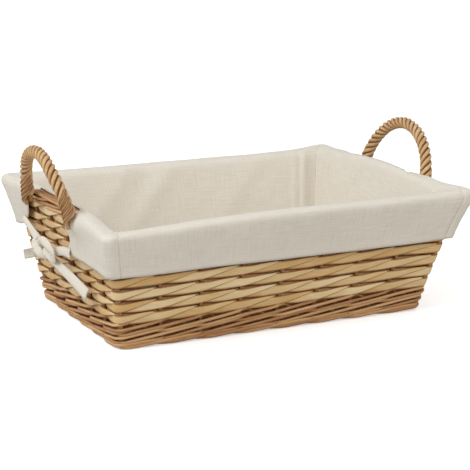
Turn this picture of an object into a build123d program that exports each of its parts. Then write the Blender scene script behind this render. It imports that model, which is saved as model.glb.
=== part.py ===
"""Low rectangular woven tray basket with a rope handle at each end and a tied cotton liner.

Millimetres, +Z up, +X along the basket, -Y the front. The origin is the middle of the
basket's footprint, on the surface it stands on.

The wall stands on upright stakes. Every woven band runs round them twice: an outer band in
front of the stakes and an inner band behind them. The bands follow the wall, which leans
outwards on all four sides and has a bevel at each corner, and each band is eight straight
lengths with a fine joint between them. All places are worked out from the stakes' centre
line, and offsets are horizontal: positive outwards, negative into the basket.
"""

import os
from math import atan2, cos, degrees, radians, sin, sqrt, tan

from build123d import *

os.makedirs("parts", exist_ok=True)

# ---- basket ----
foot_length = 400.0
foot_width = 260.0
rim_length = 450.0
rim_width = 346.0
corner_leg = 13.0          # how far a bevelled corner cuts back each side, at the outer face
joint_gap = 0.3            # between two lengths of a band
course_gap = 0.5           # between one band and the next above it

# ---- weave ----
stake_diameter = 4.8
stake_play = 0.3           # between a stake and the band on each side of it
rod_diameter = 5.0         # round willow rods of the wales, measured outwards
chip_thickness = 2.0       # flat split strips of the wall
foot_border_height = 6.0
foot_wale_count = 2        # rounds of three-rod wale above the foot
foot_wale_pitch = 12.0     # one round shows two rods outside and one inside
chip_row_count = 7
chip_row_pitch = 15.0
top_wale_pitch = 9.0
rim_border_height = 6.0
long_side_stakes = 7
short_side_stakes = 5

# ---- base ----
base_stick_diameter = 5.0
base_stick_count = 7
base_strip_width = 13.8
base_strip_pitch = 15.0
base_strip_thickness = 1.8
base_clearance = 0.3

# ---- handles ----
handle_radius = 75.0       # middle of the rope
handle_drop = 12.0         # the arch's centre below the rim
handle_tilt = 13.2         # degrees, leaning outwards
handle_clearance = 0.4     # rope to the wall's outer face, where it comes nearest
rope_diameter = 14.0
core_diameter = 6.0
core_play = 0.2
lash_diameter = 3.2
lash_length = 18.0
lash_fan = 3               # rods on the inner side of each leg
lash_fan_step = 3.0        # each of them leans this much further inwards
lash_clearance = 0.3

# ---- liner ----
cloth = 1.2
seam_gap = 0.2
pocket_clearance = 1.0     # pocket to the inner face of the wales
crest_clearance = 0.8      # cloth over the top of the rim
cuff_clearance = 2.0       # cuff to the rim's outer face
cuff_drop = 57.0           # hem below the rim
slit_clearance = 2.0       # cuff's slit to the lashing beside a handle
front_wing_reach = -20.0   # where the front wing's hem ends
back_wing_reach = 118.0    # where the back wing's hem ends
tie_width = 12.0
knot_reach = 36.0          # middle of the knot behind the middle of the end wall
knot_drop = 5.0            # and below the hem
tail_reach = -78.0         # end of the long tail
tail_drop = 33.0
knot_size = 17.0
knot_depth = 8.0
tie_end_reach = 16.0       # how far the short tie end stands off the knot

# ---- worked out from the sizes above ----
gap_half = stake_diameter / 2 + stake_play
rim_offset = gap_half + rod_diameter            # stakes' centre line to the wales' outer face
chip_offset = gap_half + chip_thickness
foot_wale_bottom = foot_border_height
chip_bottom = foot_wale_bottom + foot_wale_count * foot_wale_pitch
top_wale_bottom = chip_bottom + chip_row_count * chip_row_pitch
rim_border_bottom = top_wale_bottom + top_wale_pitch
rim_height = rim_border_bottom + rim_border_height
pocket_out = -rim_offset - pocket_clearance
pocket_in = pocket_out - cloth
cuff_in = rim_offset + cuff_clearance
cuff_out = cuff_in + cloth
crest_low = rim_height + crest_clearance
crest_top = crest_low + cloth
hem_height = rim_height - cuff_drop
lash_beside = rope_diameter / 2 + lash_diameter / 2 + lash_clearance
slit_half = handle_radius + lash_beside + lash_diameter / 2 + slit_clearance

RIGHT, BACK_RIGHT, BACK, BACK_LEFT, LEFT, FRONT_LEFT, FRONT, FRONT_RIGHT = range(8)


def stake_half(z):
    """Half length and half width of the stakes' centre line at height z."""
    up = z / rim_height
    half_x = (foot_length + (rim_length - foot_length) * up) / 2 - rim_offset
    half_y = (foot_width + (rim_width - foot_width) * up) / 2 - rim_offset
    return half_x, half_y


def corner_cut(offset):
    """How far the bevel cuts back each side of the outline at an offset."""
    return corner_leg - (2 - sqrt(2)) * (rim_offset - offset)


def outline(z, offset):
    """The eight corners of the basket's plan at height z, at an offset from the stakes."""
    half_x, half_y = stake_half(z)
    x = half_x + offset
    y = half_y + offset
    x_cut = x - corner_cut(offset)
    y_cut = y - corner_cut(offset)
    return [
        Vector(x, -y_cut), Vector(x, y_cut), Vector(x_cut, y), Vector(-x_cut, y),
        Vector(-x, y_cut), Vector(-x, -y_cut), Vector(-x_cut, -y), Vector(x_cut, -y),
    ]


def band(courses, inside, outside, sides=range(8)):
    """Straight lengths of a band between two offsets, for each (bottom, top) in courses."""
    with BuildPart() as lengths:
        for course in courses:
            for side in sides:
                for z in course:
                    outer = outline(z, outside)
                    inner = outline(z, inside)
                    end = (side + 1) % 8
                    trim = (outer[end] - outer[side]).normalized() * joint_gap / 2
                    with BuildSketch(Plane.XY.offset(z)):
                        with BuildLine():
                            Polyline(
                                outer[side] + trim, outer[end] - trim,
                                inner[end] - trim, inner[side] + trim, close=True,
                            )
                        make_face()
                loft(ruled=True)
    return lengths


def upright(feet_and_tops):
    """Round stakes, each leaning from its foot point to its top point."""
    with BuildPart() as stakes:
        for foot, top in feet_and_tops:
            with BuildSketch(Plane.XY.offset(foot.Z)):
                with Locations((foot.X, foot.Y)):
                    Circle(stake_diameter / 2)
            extrude(amount=(top - foot).length, dir=top - foot)
    return stakes


def mirrored(piece, plane):
    """The same piece on the other side of a plane."""
    with BuildPart() as copy:
        mirror(piece.part, about=plane)
    return copy


def save(piece, name):
    """Labels a finished piece and writes its STEP file."""
    piece.part.label = name
    export_step(piece.part, f"parts/{name}.step")


# ---- foot and wales ----
def wale_courses(bottom, pitch):
    """The two rods that one round of wale shows on its outside."""
    half = pitch / 2
    return [
        (bottom + course_gap / 2, bottom + half - course_gap / 2),
        (bottom + half + course_gap / 2, bottom + pitch - course_gap / 2),
    ]


def wale_inside(bottom, pitch):
    """The one rod that a round of wale shows on its inside, at half height."""
    half = pitch / 2 - course_gap
    middle = bottom + pitch / 2
    return [(middle - half / 2, middle + half / 2)]


foot_border = band([(0, foot_border_height - course_gap / 2)], -rim_offset, rim_offset)
save(foot_border, "foot_border")

for number in range(foot_wale_count):
    bottom = foot_wale_bottom + number * foot_wale_pitch
    outer_rods = band(wale_courses(bottom, foot_wale_pitch), gap_half, rim_offset)
    save(outer_rods, f"foot_wale_{number + 1}_outer")
    inner_rod = band(wale_inside(bottom, foot_wale_pitch), -rim_offset, -gap_half)
    save(inner_rod, f"foot_wale_{number + 1}_inner")

top_wale_outer = band(wale_courses(top_wale_bottom, top_wale_pitch), gap_half, rim_offset)
save(top_wale_outer, "top_wale_outer")
top_wale_inner = band(wale_inside(top_wale_bottom, top_wale_pitch), -rim_offset, -gap_half)
save(top_wale_inner, "top_wale_inner")

rim_border = band([(rim_border_bottom, rim_height)], -rim_offset, rim_offset)
save(rim_border, "rim_border")

# ---- split strips of the wall ----
for number in range(chip_row_count):
    bottom = chip_bottom + number * chip_row_pitch
    course = [(bottom + course_gap / 2, bottom + chip_row_pitch - course_gap / 2)]
    save(band(course, gap_half, chip_offset), f"chip_row_{number + 1}_outer")
    save(band(course, -chip_offset, -gap_half), f"chip_row_{number + 1}_inner")


# ---- stakes ----
def side_stakes(count, along_x, sign):
    """Evenly spread stakes of one side, from the foot border to the rim border."""
    bottom = foot_border_height
    top = rim_border_bottom - course_gap / 2
    ends = []
    for number in range(count):
        share = 2 * (number + 1) / (count + 1) - 1
        points = []
        for z in (bottom, top):
            half_x, half_y = stake_half(z)
            if along_x:
                points.append(Vector(share * half_x, sign * half_y, z))
            else:
                points.append(Vector(sign * half_x, share * half_y, z))
        ends.append(points)
    return upright(ends)


def corner_ends():
    """Foot and top points of the four posts, in the middle of the bevels."""
    ends = []
    for side_x, side_y in ((1, 1), (-1, 1), (-1, -1), (1, -1)):
        points = []
        for z in (foot_border_height, rim_border_bottom - course_gap / 2):
            half_x, half_y = stake_half(z)
            cut = corner_cut(0) / 2
            points.append(Vector(side_x * (half_x - cut), side_y * (half_y - cut), z))
        ends.append(points)
    return ends


save(side_stakes(long_side_stakes, True, -1), "front_stakes")
save(side_stakes(long_side_stakes, True, 1), "back_stakes")
save(side_stakes(short_side_stakes, False, -1), "left_stakes")
save(side_stakes(short_side_stakes, False, 1), "right_stakes")
save(upright(corner_ends()), "corner_posts")

# ---- base ----
lower_strip_bottom = foot_border_height + base_clearance
stick_bottom = lower_strip_bottom + base_strip_thickness + base_clearance
upper_strip_bottom = stick_bottom + base_stick_diameter + base_clearance
base_top = upper_strip_bottom + base_strip_thickness
base_half_x, base_half_y = (half - rim_offset - base_clearance for half in stake_half(stick_bottom))

with BuildPart() as base_sticks:
    with BuildSketch(Plane.YZ):
        with Locations((0, stick_bottom + base_stick_diameter / 2)):
            with GridLocations(2 * base_half_y / base_stick_count, 1, base_stick_count, 1):
                Circle(base_stick_diameter / 2)
    extrude(amount=base_half_x, both=True)
save(base_sticks, "base_sticks")

base_strip_count = int((2 * base_half_x - base_strip_width) / base_strip_pitch) + 1
with BuildPart() as base_strips:
    for number in range(base_strip_count):
        x = (number - (base_strip_count - 1) / 2) * base_strip_pitch
        level = upper_strip_bottom if number % 2 else lower_strip_bottom
        reach = base_half_y if number % 2 else stake_half(lower_strip_bottom)[1] - rim_offset
        cut_back = max(0.0, abs(x) + base_strip_width / 2 + corner_leg - base_half_x)
        with BuildSketch(Plane.XY.offset(level)):
            with Locations((x, 0)):
                Rectangle(base_strip_width, 2 * (reach - base_clearance - cut_back))
        extrude(amount=base_strip_thickness)
save(base_strips, "base_strips")

# ---- handles, made at the right-hand end and mirrored ----
rim_lean = degrees(atan2(rim_length - foot_length, 2 * rim_height))
rim_half_x = rim_length / 2
rope_half = rope_diameter / 2
rope_lean_in = handle_drop * tan(radians(handle_tilt))
wall_lean_in = handle_drop * tan(radians(rim_lean))
arch_x = rim_half_x + handle_clearance + rope_half / cos(radians(handle_tilt))
arch_x -= min(rope_lean_in, wall_lean_in)
arch_plane = Plane(
    origin=(arch_x, 0, rim_height - handle_drop),
    x_dir=(0, 1, 0),
    z_dir=(cos(radians(handle_tilt)), 0, -sin(radians(handle_tilt))),
)

with BuildLine(arch_plane) as arch:
    CenterArc((0, 0), handle_radius, 0, 180)

with BuildPart() as handle_core:
    with BuildSketch(arch.line ^ 0):
        Circle(core_diameter / 2)
    sweep(path=arch.line)

with BuildPart() as handle_rope:
    with BuildSketch(arch.line ^ 0):
        Circle(rope_half)
        Circle(core_diameter / 2 + core_play, mode=Mode.SUBTRACT)
    sweep(path=arch.line)


def lashing_lines():
    """Top and bottom points of the rods that tie both legs of an arch to the rim."""
    spread = lash_diameter + lash_clearance
    reach = rim_half_x + lash_clearance + lash_diameter / 2 / cos(radians(rim_lean))
    lines = []
    for leg in (-1, 1):
        # one rod outside the leg, then those that fan out towards the middle of the arch
        places = [(handle_radius + lash_beside, 0.0)]
        for rod in range(lash_fan):
            start = handle_radius - lash_beside - spread * rod
            places.append((start, lash_fan_step * (rod + 1)))
        for start, fan in places:
            top = Vector(reach, leg * start, rim_height)
            sink = lash_length * tan(radians(rim_lean))
            foot = Vector(reach - sink, leg * (start - fan), rim_height - lash_length)
            lines.append((top, foot))
    return lines


with BuildPart() as handle_lashing:
    for top, foot in lashing_lines():
        with BuildLine() as rod:
            Line(top, foot)
        with BuildSketch(rod.line ^ 0):
            Circle(lash_diameter / 2)
        sweep(path=rod.line)

for name, piece in (("core", handle_core), ("rope", handle_rope), ("lashing", handle_lashing)):
    save(mirrored(piece, Plane.YZ), f"left_handle_{name}")
    save(piece, f"right_handle_{name}")

# ---- liner pocket ----
floor_bottom = base_top + base_clearance
wall_bottom = floor_bottom + cloth + seam_gap
pocket_course = [(wall_bottom, crest_low - seam_gap)]

with BuildPart() as liner_floor:
    with BuildSketch(Plane.XY.offset(floor_bottom)):
        with BuildLine():
            Polyline(*outline(floor_bottom, pocket_out), close=True)
        make_face()
    extrude(amount=cloth)
save(liner_floor, "liner_floor")

save(band(pocket_course, pocket_in, pocket_out, [FRONT_LEFT, FRONT, FRONT_RIGHT]), "liner_front_wall")
save(band(pocket_course, pocket_in, pocket_out, [BACK_RIGHT, BACK, BACK_LEFT]), "liner_back_wall")
save(band(pocket_course, pocket_in, pocket_out, [LEFT]), "liner_left_wall")
save(band(pocket_course, pocket_in, pocket_out, [RIGHT]), "liner_right_wall")

# ---- liner cuff: over the rim and down outside it, cut into six at the seams and slits ----
with BuildPart() as cuff_ring:
    for low, high, reach, mode in (
        (hem_height, crest_top, cuff_out, Mode.ADD),
        (hem_height, crest_low, cuff_in, Mode.SUBTRACT),
        (crest_low, crest_top, pocket_in, Mode.SUBTRACT),
    ):
        for z in (low, high):
            with BuildSketch(Plane.XY.offset(z)):
                with BuildLine():
                    Polyline(*outline(z, reach), close=True)
                make_face()
        loft(ruled=True, mode=mode)

# cutting shapes stand a little past the cuff below, above, inside and outside it
past = 10.0
cut_low = hem_height - past
cut_high = crest_top + past
cut_inwards = cuff_out - pocket_in + past
seam_level = (hem_height + crest_top) / 2
seam_x = outline(seam_level, cuff_out)[FRONT_LEFT].X + corner_cut(cuff_out) / 2
seam_y = outline(seam_level, cuff_out)[FRONT_RIGHT].Y + corner_cut(cuff_out) / 2


def long_cuff(side_y):
    """The front or back cuff, between the seams that run down the middle of two bevels."""
    near = side_y * (-seam_y - cut_inwards + joint_gap)
    far = side_y * (-seam_y + cut_inwards + joint_gap)
    with BuildPart() as cuff:
        add(cuff_ring.part)
        with BuildSketch(Plane.XY.offset(cut_low)):
            with BuildLine():
                Polyline(
                    (seam_x + cut_inwards, near), (seam_x - cut_inwards, far),
                    (cut_inwards - seam_x, far), (-seam_x - cut_inwards, near), close=True,
                )
            make_face()
        extrude(amount=cut_high - cut_low, mode=Mode.INTERSECT)
    return cuff


def left_wing(side_y, hem_end):
    """One half of the left cuff, between a corner seam and the slit's curved edge."""
    slit = side_y * slit_half
    far_y = side_y * (-seam_y + cut_inwards)
    slit_low = rim_height - lash_length - cloth
    bend = (slit + (hem_end - slit) * 0.35, hem_height + (slit_low - hem_height) * 0.5)
    with BuildPart() as wing:
        add(cuff_ring.part)
        with BuildSketch(Plane.XY.offset(cut_low)):
            with BuildLine():
                Polyline(
                    (seam_x + cut_inwards, 0), (seam_x + cut_inwards, far_y - 2 * side_y * cut_inwards),
                    (seam_x - cut_inwards, far_y), (seam_x - cut_inwards, 0), close=True,
                )
            make_face()
        extrude(amount=cut_high - cut_low, mode=Mode.INTERSECT)
        with BuildSketch(Plane.YZ):
            with BuildLine():
                Polyline(
                    (hem_end, hem_height), (hem_end, cut_low), (far_y, cut_low),
                    (far_y, cut_high), (slit, cut_high), (slit, slit_low),
                )
                ThreePointArc((slit, slit_low), bend, (hem_end, hem_height))
            make_face()
        extrude(amount=-rim_length, mode=Mode.INTERSECT)
    return wing


save(long_cuff(-1), "liner_front_cuff")
save(long_cuff(1), "liner_back_cuff")
left_front_wing = left_wing(-1, front_wing_reach)
save(left_front_wing, "liner_left_front_cuff")
save(mirrored(left_front_wing, Plane.YZ), "liner_right_front_cuff")
left_back_wing = left_wing(1, back_wing_reach)
save(left_back_wing, "liner_left_back_cuff")
save(mirrored(left_back_wing, Plane.YZ), "liner_right_back_cuff")

# ---- ties: flat tapes from the wings' hem corners to a knot under the handle ----
tie_offset = cuff_clearance + cloth + lash_clearance
# (y, z) places on the end wall; each tape is sewn on just inside its wing's hem corner
knot_place = (knot_reach, hem_height - knot_drop)
back_tie_start = (back_wing_reach - tie_width / 2, hem_height + tie_width)
back_tie_end = (tail_reach, hem_height - tail_drop)
front_tie_start = (front_wing_reach - tie_width / 2, hem_height + tie_width / 2)


def end_plane(offset):
    """The left end wall's outer face, moved outwards. Local x is -y, local y runs up the wall."""
    lean = radians(rim_lean)
    return Plane(
        origin=(-foot_length / 2 - offset / cos(lean), 0, 0),
        x_dir=(0, -1, 0),
        z_dir=(-cos(lean), 0, -sin(lean)),
    )


def on_wall(place):
    """A (y, z) place on the end wall, in the end plane's own units."""
    return (-place[0], place[1] / cos(radians(rim_lean)))


with BuildPart() as left_back_tie:
    with BuildSketch(end_plane(tie_offset)):
        with BuildLine():
            Polyline(on_wall(back_tie_start), on_wall(knot_place), on_wall(back_tie_end))
        trace(line_width=tie_width)
    extrude(amount=cloth)

with BuildPart() as left_front_tie:
    with BuildSketch(end_plane(tie_offset + cloth + seam_gap)):
        with BuildLine():
            Line(on_wall(front_tie_start), on_wall(knot_place))
        trace(line_width=tie_width)
    extrude(amount=cloth)
    with BuildSketch(end_plane(tie_offset + cloth + seam_gap)):
        with Locations(on_wall(knot_place)):
            RectangleRounded(knot_size, knot_size, knot_size / 4)
    extrude(amount=knot_depth)
    with BuildSketch(end_plane(tie_offset + cloth + seam_gap)):
        with Locations(on_wall(knot_place)):
            Rectangle(cloth, tie_width)
    extrude(amount=knot_depth + tie_end_reach)

save(left_back_tie, "left_back_tie")
save(mirrored(left_back_tie, Plane.YZ), "right_back_tie")
save(left_front_tie, "left_front_tie")
save(mirrored(left_front_tie, Plane.YZ), "right_front_tie")

print(f"rim {rim_length:.0f} x {rim_width:.0f}, {rim_height:.0f} high, {base_strip_count} base strips")
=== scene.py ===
# %% [markdown]
# # A willow tray basket with a cotton liner
#
# This lesson dresses a finished CAD basket: a woven willow tray with a rope
# handle at each end, and a cotton liner that turns over the rim. The CAD model
# is the frame. It gives every size and place, so each new piece is built where
# its plain solid stands. The first cell loads it and keeps its overall box.

# %% load the frame
import bisect
import math
import random

import bmesh
import bpy
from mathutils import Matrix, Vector, noise


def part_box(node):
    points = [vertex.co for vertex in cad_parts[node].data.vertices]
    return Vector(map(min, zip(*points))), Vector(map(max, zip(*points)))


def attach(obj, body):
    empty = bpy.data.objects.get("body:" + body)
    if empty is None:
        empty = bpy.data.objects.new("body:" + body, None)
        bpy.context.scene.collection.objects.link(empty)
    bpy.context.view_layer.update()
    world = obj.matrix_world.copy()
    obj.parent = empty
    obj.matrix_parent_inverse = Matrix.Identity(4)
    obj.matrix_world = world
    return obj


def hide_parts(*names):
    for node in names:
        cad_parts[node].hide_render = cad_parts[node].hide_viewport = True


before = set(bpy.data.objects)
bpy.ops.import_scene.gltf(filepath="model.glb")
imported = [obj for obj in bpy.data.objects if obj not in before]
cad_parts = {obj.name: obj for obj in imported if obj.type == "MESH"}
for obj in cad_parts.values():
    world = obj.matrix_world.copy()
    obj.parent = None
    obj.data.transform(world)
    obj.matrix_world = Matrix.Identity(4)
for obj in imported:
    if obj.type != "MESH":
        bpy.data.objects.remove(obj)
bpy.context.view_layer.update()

mm = 0.001

# %% [markdown]
# ## Camera
#
# A product view like this is taken from some distance with a long lens, which
# keeps the basket's long edges nearly parallel. The camera could be placed by
# hand, but aiming it from two angles and a distance is easier to adjust.

# %% camera
camera_data = bpy.data.cameras.new("camera")
camera_data.lens = 116.5
camera_data.sensor_width = 36
camera = bpy.data.objects.new("camera", camera_data)
bpy.context.collection.objects.link(camera)
bpy.context.scene.camera = camera

azimuth, elevation, distance = math.radians(-25.67), math.radians(12.91), 1.886
aim = Vector((0.0085, 0, 0.0866))
towards_camera = Vector((
    math.sin(azimuth) * math.cos(elevation),
    -math.cos(azimuth) * math.cos(elevation),
    math.sin(elevation),
))
camera.location = aim + towards_camera * distance
camera.rotation_euler = towards_camera.to_track_quat("Z", "Y").to_euler()
print("camera height", round(camera.location.z, 3), "m")

# %% [markdown]
# ## Studio
#
# The basket stands on a white floor under soft light. A large, slightly cool
# light hangs high on the left, so the rim and the left end are brightest, and
# a weaker warm light fills the front. The world gives the rest. The camera
# sees the floor glow a little, which keeps the contact shadow pale.

# %% floor and lights
def soft_light(name, place, size, power, colour):
    """A square area light that looks at the middle of the basket."""
    data = bpy.data.lights.new(name, "AREA")
    data.shape, data.size, data.energy, data.color = "SQUARE", size, power, colour
    light = bpy.data.objects.new(name, data)
    light.location = place
    light.rotation_euler = (Vector(place) - aim).to_track_quat("Z", "Y").to_euler()
    bpy.context.collection.objects.link(light)


soft_light("key_light", (-2.1, -0.5, 2.1), 1.7, 42, (0.95, 0.98, 1.0))
soft_light("fill_light", (0.6, -2.6, 1.1), 1.6, 13, (1.0, 0.965, 0.91))

world = bpy.data.worlds.new("studio")
world.use_nodes = True
sky = world.node_tree.nodes["Background"]
sky.inputs["Color"].default_value = (1, 1, 1, 1)
sky.inputs["Strength"].default_value = 0.6
bpy.context.scene.world = world
bpy.context.scene.view_settings.view_transform = "Standard"

floor_shape = bmesh.new()
bmesh.ops.create_circle(floor_shape, cap_ends=True, segments=64, radius=14)
floor_mesh = bpy.data.meshes.new("floor")
floor_shape.to_mesh(floor_mesh)
floor_shape.free()
floor = bpy.data.objects.new("floor", floor_mesh)
bpy.context.collection.objects.link(floor)
floor_paint = bpy.data.materials.new("floor")
floor_paint.use_nodes = True
floor_shader = floor_paint.node_tree.nodes["Principled BSDF"]
# the camera sees a white floor, but the basket gets less light back from it
sight = floor_paint.node_tree.nodes.new("ShaderNodeLightPath")
floor_tone = floor_paint.node_tree.nodes.new("ShaderNodeMix")
floor_tone.data_type = "RGBA"
floor_tone.inputs[6].default_value = (0.6, 0.59, 0.57, 1)
floor_tone.inputs[7].default_value = (0.95, 0.95, 0.95, 1)
floor_paint.node_tree.links.new(sight.outputs["Is Camera Ray"], floor_tone.inputs[0])
floor_paint.node_tree.links.new(floor_tone.outputs[2], floor_shader.inputs["Base Color"])
glow = floor_paint.node_tree.nodes.new("ShaderNodeMath")
glow.operation = "MULTIPLY"
glow.inputs[1].default_value = 0.5
floor_paint.node_tree.links.new(sight.outputs["Is Camera Ray"], glow.inputs[0])
floor_paint.node_tree.links.new(glow.outputs[0], floor_shader.inputs["Emission Strength"])
floor_shader.inputs["Roughness"].default_value = 0.9
floor_shader.inputs["Specular IOR Level"].default_value = 0.0
floor_shader.inputs["Emission Color"].default_value = (1, 1, 1, 1)
floor_mesh.materials.append(floor_paint)

# %% [markdown]
# ## The wall's own coordinates
#
# Everything in a woven wall follows the stakes. So instead of x, y and z, the
# weave is described by three numbers of its own: which stake it is at, how
# high it is, and how far in front of the stakes it stands. Stakes are counted
# from the front left corner, round to the right. The helper below turns those
# three numbers into a place. Its sizes come from the CAD foot and rim.

# %% stake coordinates
foot_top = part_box("foot_border")[1]
rim_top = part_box("rim_border")[1]
border_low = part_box("rim_border")[0].z
stakes_per_side = (8, 6, 8, 6)      # spaces along the front, right, back and left
stake_count = sum(stakes_per_side)
band_reach = 7.7 * mm               # from the stakes' centre line to the rods' outer face
stake_corner = 4.5 * mm             # radius of a corner on the stakes' centre line


def stake_half(z):
    """Half length and half width of the stakes' centre line at height z."""
    up = (z - foot_top.z) / (rim_top.z - foot_top.z)
    return (
        foot_top.x + (rim_top.x - foot_top.x) * up - band_reach,
        foot_top.y + (rim_top.y - foot_top.y) * up - band_reach,
    )


sag_depth = 8 * mm                  # at the front left corner
sag_reach, sag_reach_left = 2.1, 1.0    # in stake spaces, along the front and along the left end
rise_height = 12 * mm               # at the right end
rise_middle, rise_reach = 11.2, 2.5     # in stake spaces
# how far the weave swells out at each corner post, from this height up
corner_swell = {0: 1.5 * mm, 8: 7 * mm, 14: 3 * mm, 22: 4 * mm}
swell_height, swell_reach = 100 * mm, 0.4
sharpest_corner = 0.4 * mm


def rim_sag(q):
    """How far the rim sags towards the front left corner."""
    past = (q + 14) % stake_count - 14
    return sag_depth * math.exp(-(past / (sag_reach if past > 0 else sag_reach_left)) ** 2)


def rim_rise(q):
    """How far the cloth stands up above the rim at the right end."""
    return rise_height * math.exp(-((q % stake_count - rise_middle) / rise_reach) ** 2)


def nearest_corner(q):
    """The corner post nearest to stake number q, and how far away it is in spaces."""
    far = {corner: abs((q - corner + 14) % stake_count - 14) for corner in corner_swell}
    corner = min(far, key=far.get)
    return corner, far[corner]


def wall_place(q, z, out, radius=None):
    """The place at stake number q, height z, and a distance out from the stakes.

    The weave swells at the corners. A piece that gives a corner radius, as the cloth does, doesn't.
    """
    if radius is None:
        post, far = nearest_corner(q)
        out += corner_swell[post] * math.exp(-(far / swell_reach) ** 2) * min(z / swell_height, 1)
        radius = max(stake_corner + out, sharpest_corner)
    q = q % stake_count
    half_x, half_y = stake_half(z)
    for side, spaces in enumerate(stakes_per_side):
        if q <= spaces or side == 3:
            break
        q -= spaces
    run, depth = (half_x, half_y) if side % 2 == 0 else (half_y, half_x)
    u = 2 * q / spaces - 1
    last = 1 - 2 / spaces           # the last stake before each corner
    if abs(u) <= last:
        s = abs(u) * run
    else:
        start = last * run
        end = run + out - radius + radius * math.pi / 4
        s = start + (abs(u) - last) / (1 - last) * (end - start)
    straight = run + out - radius
    if s <= straight:
        along, away = s, depth + out
    else:
        turn = (s - straight) / radius
        along = straight + radius * math.sin(turn)
        away = depth + out - radius + radius * math.cos(turn)
    along = math.copysign(along, u)
    return Vector((
        (along, -away, z), (away, along, z), (-along, away, z), (-away, -along, z),
    )[side])


print("corner post at the rim", [round(x / mm, 1) for x in wall_place(0, rim_top.z, 0)])

# %% [markdown]
# ## Three helpers for making pieces
#
# A rod or a strip is a grid rolled into a tube: one way along, one way round.
# A cloth is a grid that stays flat. Both start with bmesh's own grid, and each
# corner is moved to its place. Every corner also keeps three numbers for the
# materials: how far along it is, where across it is, and a tone of its own.

# %% grid, tube and finish helpers
def start_piece():
    """An empty bmesh with the three layers that the materials read."""
    bm = bmesh.new()
    for layer in ("along", "across", "tone"):
        bm.verts.layers.float.new(layer)
    return bm


def add_grid(bm, cells_u, cells_v, place):
    """A grid whose corners go where place(step_u, step_v) says, with their three numbers."""
    layers = [bm.verts.layers.float[layer] for layer in ("along", "across", "tone")]
    made = bmesh.ops.create_grid(bm, x_segments=cells_u, y_segments=cells_v, size=0.5)["verts"]
    for vert in made:
        step_u = round((vert.co.x + 0.5) * cells_u)
        step_v = round((vert.co.y + 0.5) * cells_v)
        vert.co, *numbers = place(step_u, step_v)
        for layer, number in zip(layers, numbers):
            vert[layer] = number


def finish_piece(bm, name, body, material, nodes, closed=True):
    """Welds a bmesh into an object, puts it under its body and hides the CAD parts it replaces."""
    bmesh.ops.remove_doubles(bm, verts=bm.verts, dist=0.005 * mm)
    if closed:
        rims = [edge for edge in bm.edges if edge.is_boundary]
        if rims:
            bmesh.ops.holes_fill(bm, edges=rims, sides=0)
        bmesh.ops.recalc_face_normals(bm, faces=bm.faces)
    for face in bm.faces:
        face.smooth = True
    mesh = bpy.data.meshes.new(name)
    bm.to_mesh(mesh)
    bm.free()
    mesh.materials.append(material)
    piece = bpy.data.objects.new(name, mesh)
    bpy.context.collection.objects.link(piece)
    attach(piece, body)
    if nodes:
        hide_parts(*nodes)
    print(name, len(mesh.polygons), "faces")
    return piece


def wave(x, seed):
    """A smooth, seeded wander between about -1 and 1."""
    return noise.noise(Vector((x, seed * 7.31, seed * 1.93)))


def ease(x):
    """0 below 0, 1 above 1, and a smooth step between."""
    x = min(max(x, 0.0), 1.0)
    return x * x * (3 - 2 * x)


# %% rods through a few points
def smooth_path(points, cells):
    """Evenly numbered points on a Catmull-Rom curve through the given ones."""
    points = [Vector(point) for point in points]
    ends = [2 * points[0] - points[1], *points, 2 * points[-1] - points[-2]]
    path = []
    for step in range(cells + 1):
        place = step / cells * (len(points) - 1)
        piece = min(int(place), len(points) - 2)
        t = place - piece
        a, b, c, d = ends[piece:piece + 4]
        path.append(0.5 * (2 * b + (c - a) * t + (2 * a - 5 * b + 4 * c - d) * t * t
                           + (3 * b - a - 3 * c + d) * t ** 3))
    return path


def path_lengths(path, start=0.0):
    """How far along a path each of its points is."""
    lengths = [start]
    for a, b in zip(path, path[1:]):
        lengths.append(lengths[-1] + (b - a).length)
    return lengths


round_cells = 8                     # sides of a round rod


def add_rod(bm, points, radius, tone_here, cells=24):
    """A round rod through a few points."""
    path = smooth_path(points, cells)
    lengths = path_lengths(path)
    side = Vector((0, 0, 1)).cross(path[1] - path[0])
    if side.length < 1e-6:
        side = Vector((1, 0, 0))
    frames = []
    for step in range(cells + 1):
        ahead = path[min(step + 1, cells)] - path[max(step - 1, 0)]
        ahead.normalize()
        side = (side - ahead * side.dot(ahead)).normalized()
        frames.append((side.copy(), ahead.cross(side)))

    def place(step_u, step_v):
        side, up = frames[step_u]
        angle = 2 * math.pi * step_v / round_cells
        spot = path[step_u] + side * radius * math.cos(angle) + up * radius * math.sin(angle)
        return spot, lengths[step_u], math.sin(angle), tone_here

    add_grid(bm, cells, round_cells, place)


# %% [markdown]
# ## Willow
#
# Willow is a thin, straight-grained stick. Fine fibres run along it, its colour
# drifts from straw to tan over a hand's width, and a split strip keeps some
# brown bark along its two edges. That dark edge colour is also painted shade:
# on the strips it darkens the gaps between rows, and on a round rod, where it
# lies along two sides, it is painted shade in the grooves between neighbouring
# rods. One node group makes all of that from the three numbers on the mesh,
# and every willow finish uses it with its own colours.

# %% node group helpers
def new_group(name, inputs, outputs):
    """A shader node group with named sockets."""
    group = bpy.data.node_groups.new(name, "ShaderNodeTree")
    for label, kind in inputs:
        group.interface.new_socket(label, in_out="INPUT", socket_type=kind)
    for label, kind in outputs:
        group.interface.new_socket(label, in_out="OUTPUT", socket_type=kind)
    return group, group.nodes.new("NodeGroupInput"), group.nodes.new("NodeGroupOutput")


def feed(tree, sockets, values):
    """Links each socket to a value, or sets it when the value is a plain number or colour."""
    for socket, value in zip(sockets, values):
        if isinstance(value, (int, float, tuple)):
            socket.default_value = value
        else:
            tree.links.new(value, socket)


def math_node(tree, operation, a, b=0.0):
    """A Math node on sockets or plain numbers."""
    node = tree.nodes.new("ShaderNodeMath")
    node.operation = operation
    feed(tree, node.inputs, (a, b))
    return node.outputs[0]


def times(tree, a, b):
    """One value times another."""
    return math_node(tree, "MULTIPLY", a, b)


def plus(tree, a, b):
    """One value plus another."""
    return math_node(tree, "ADD", a, b)


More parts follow.
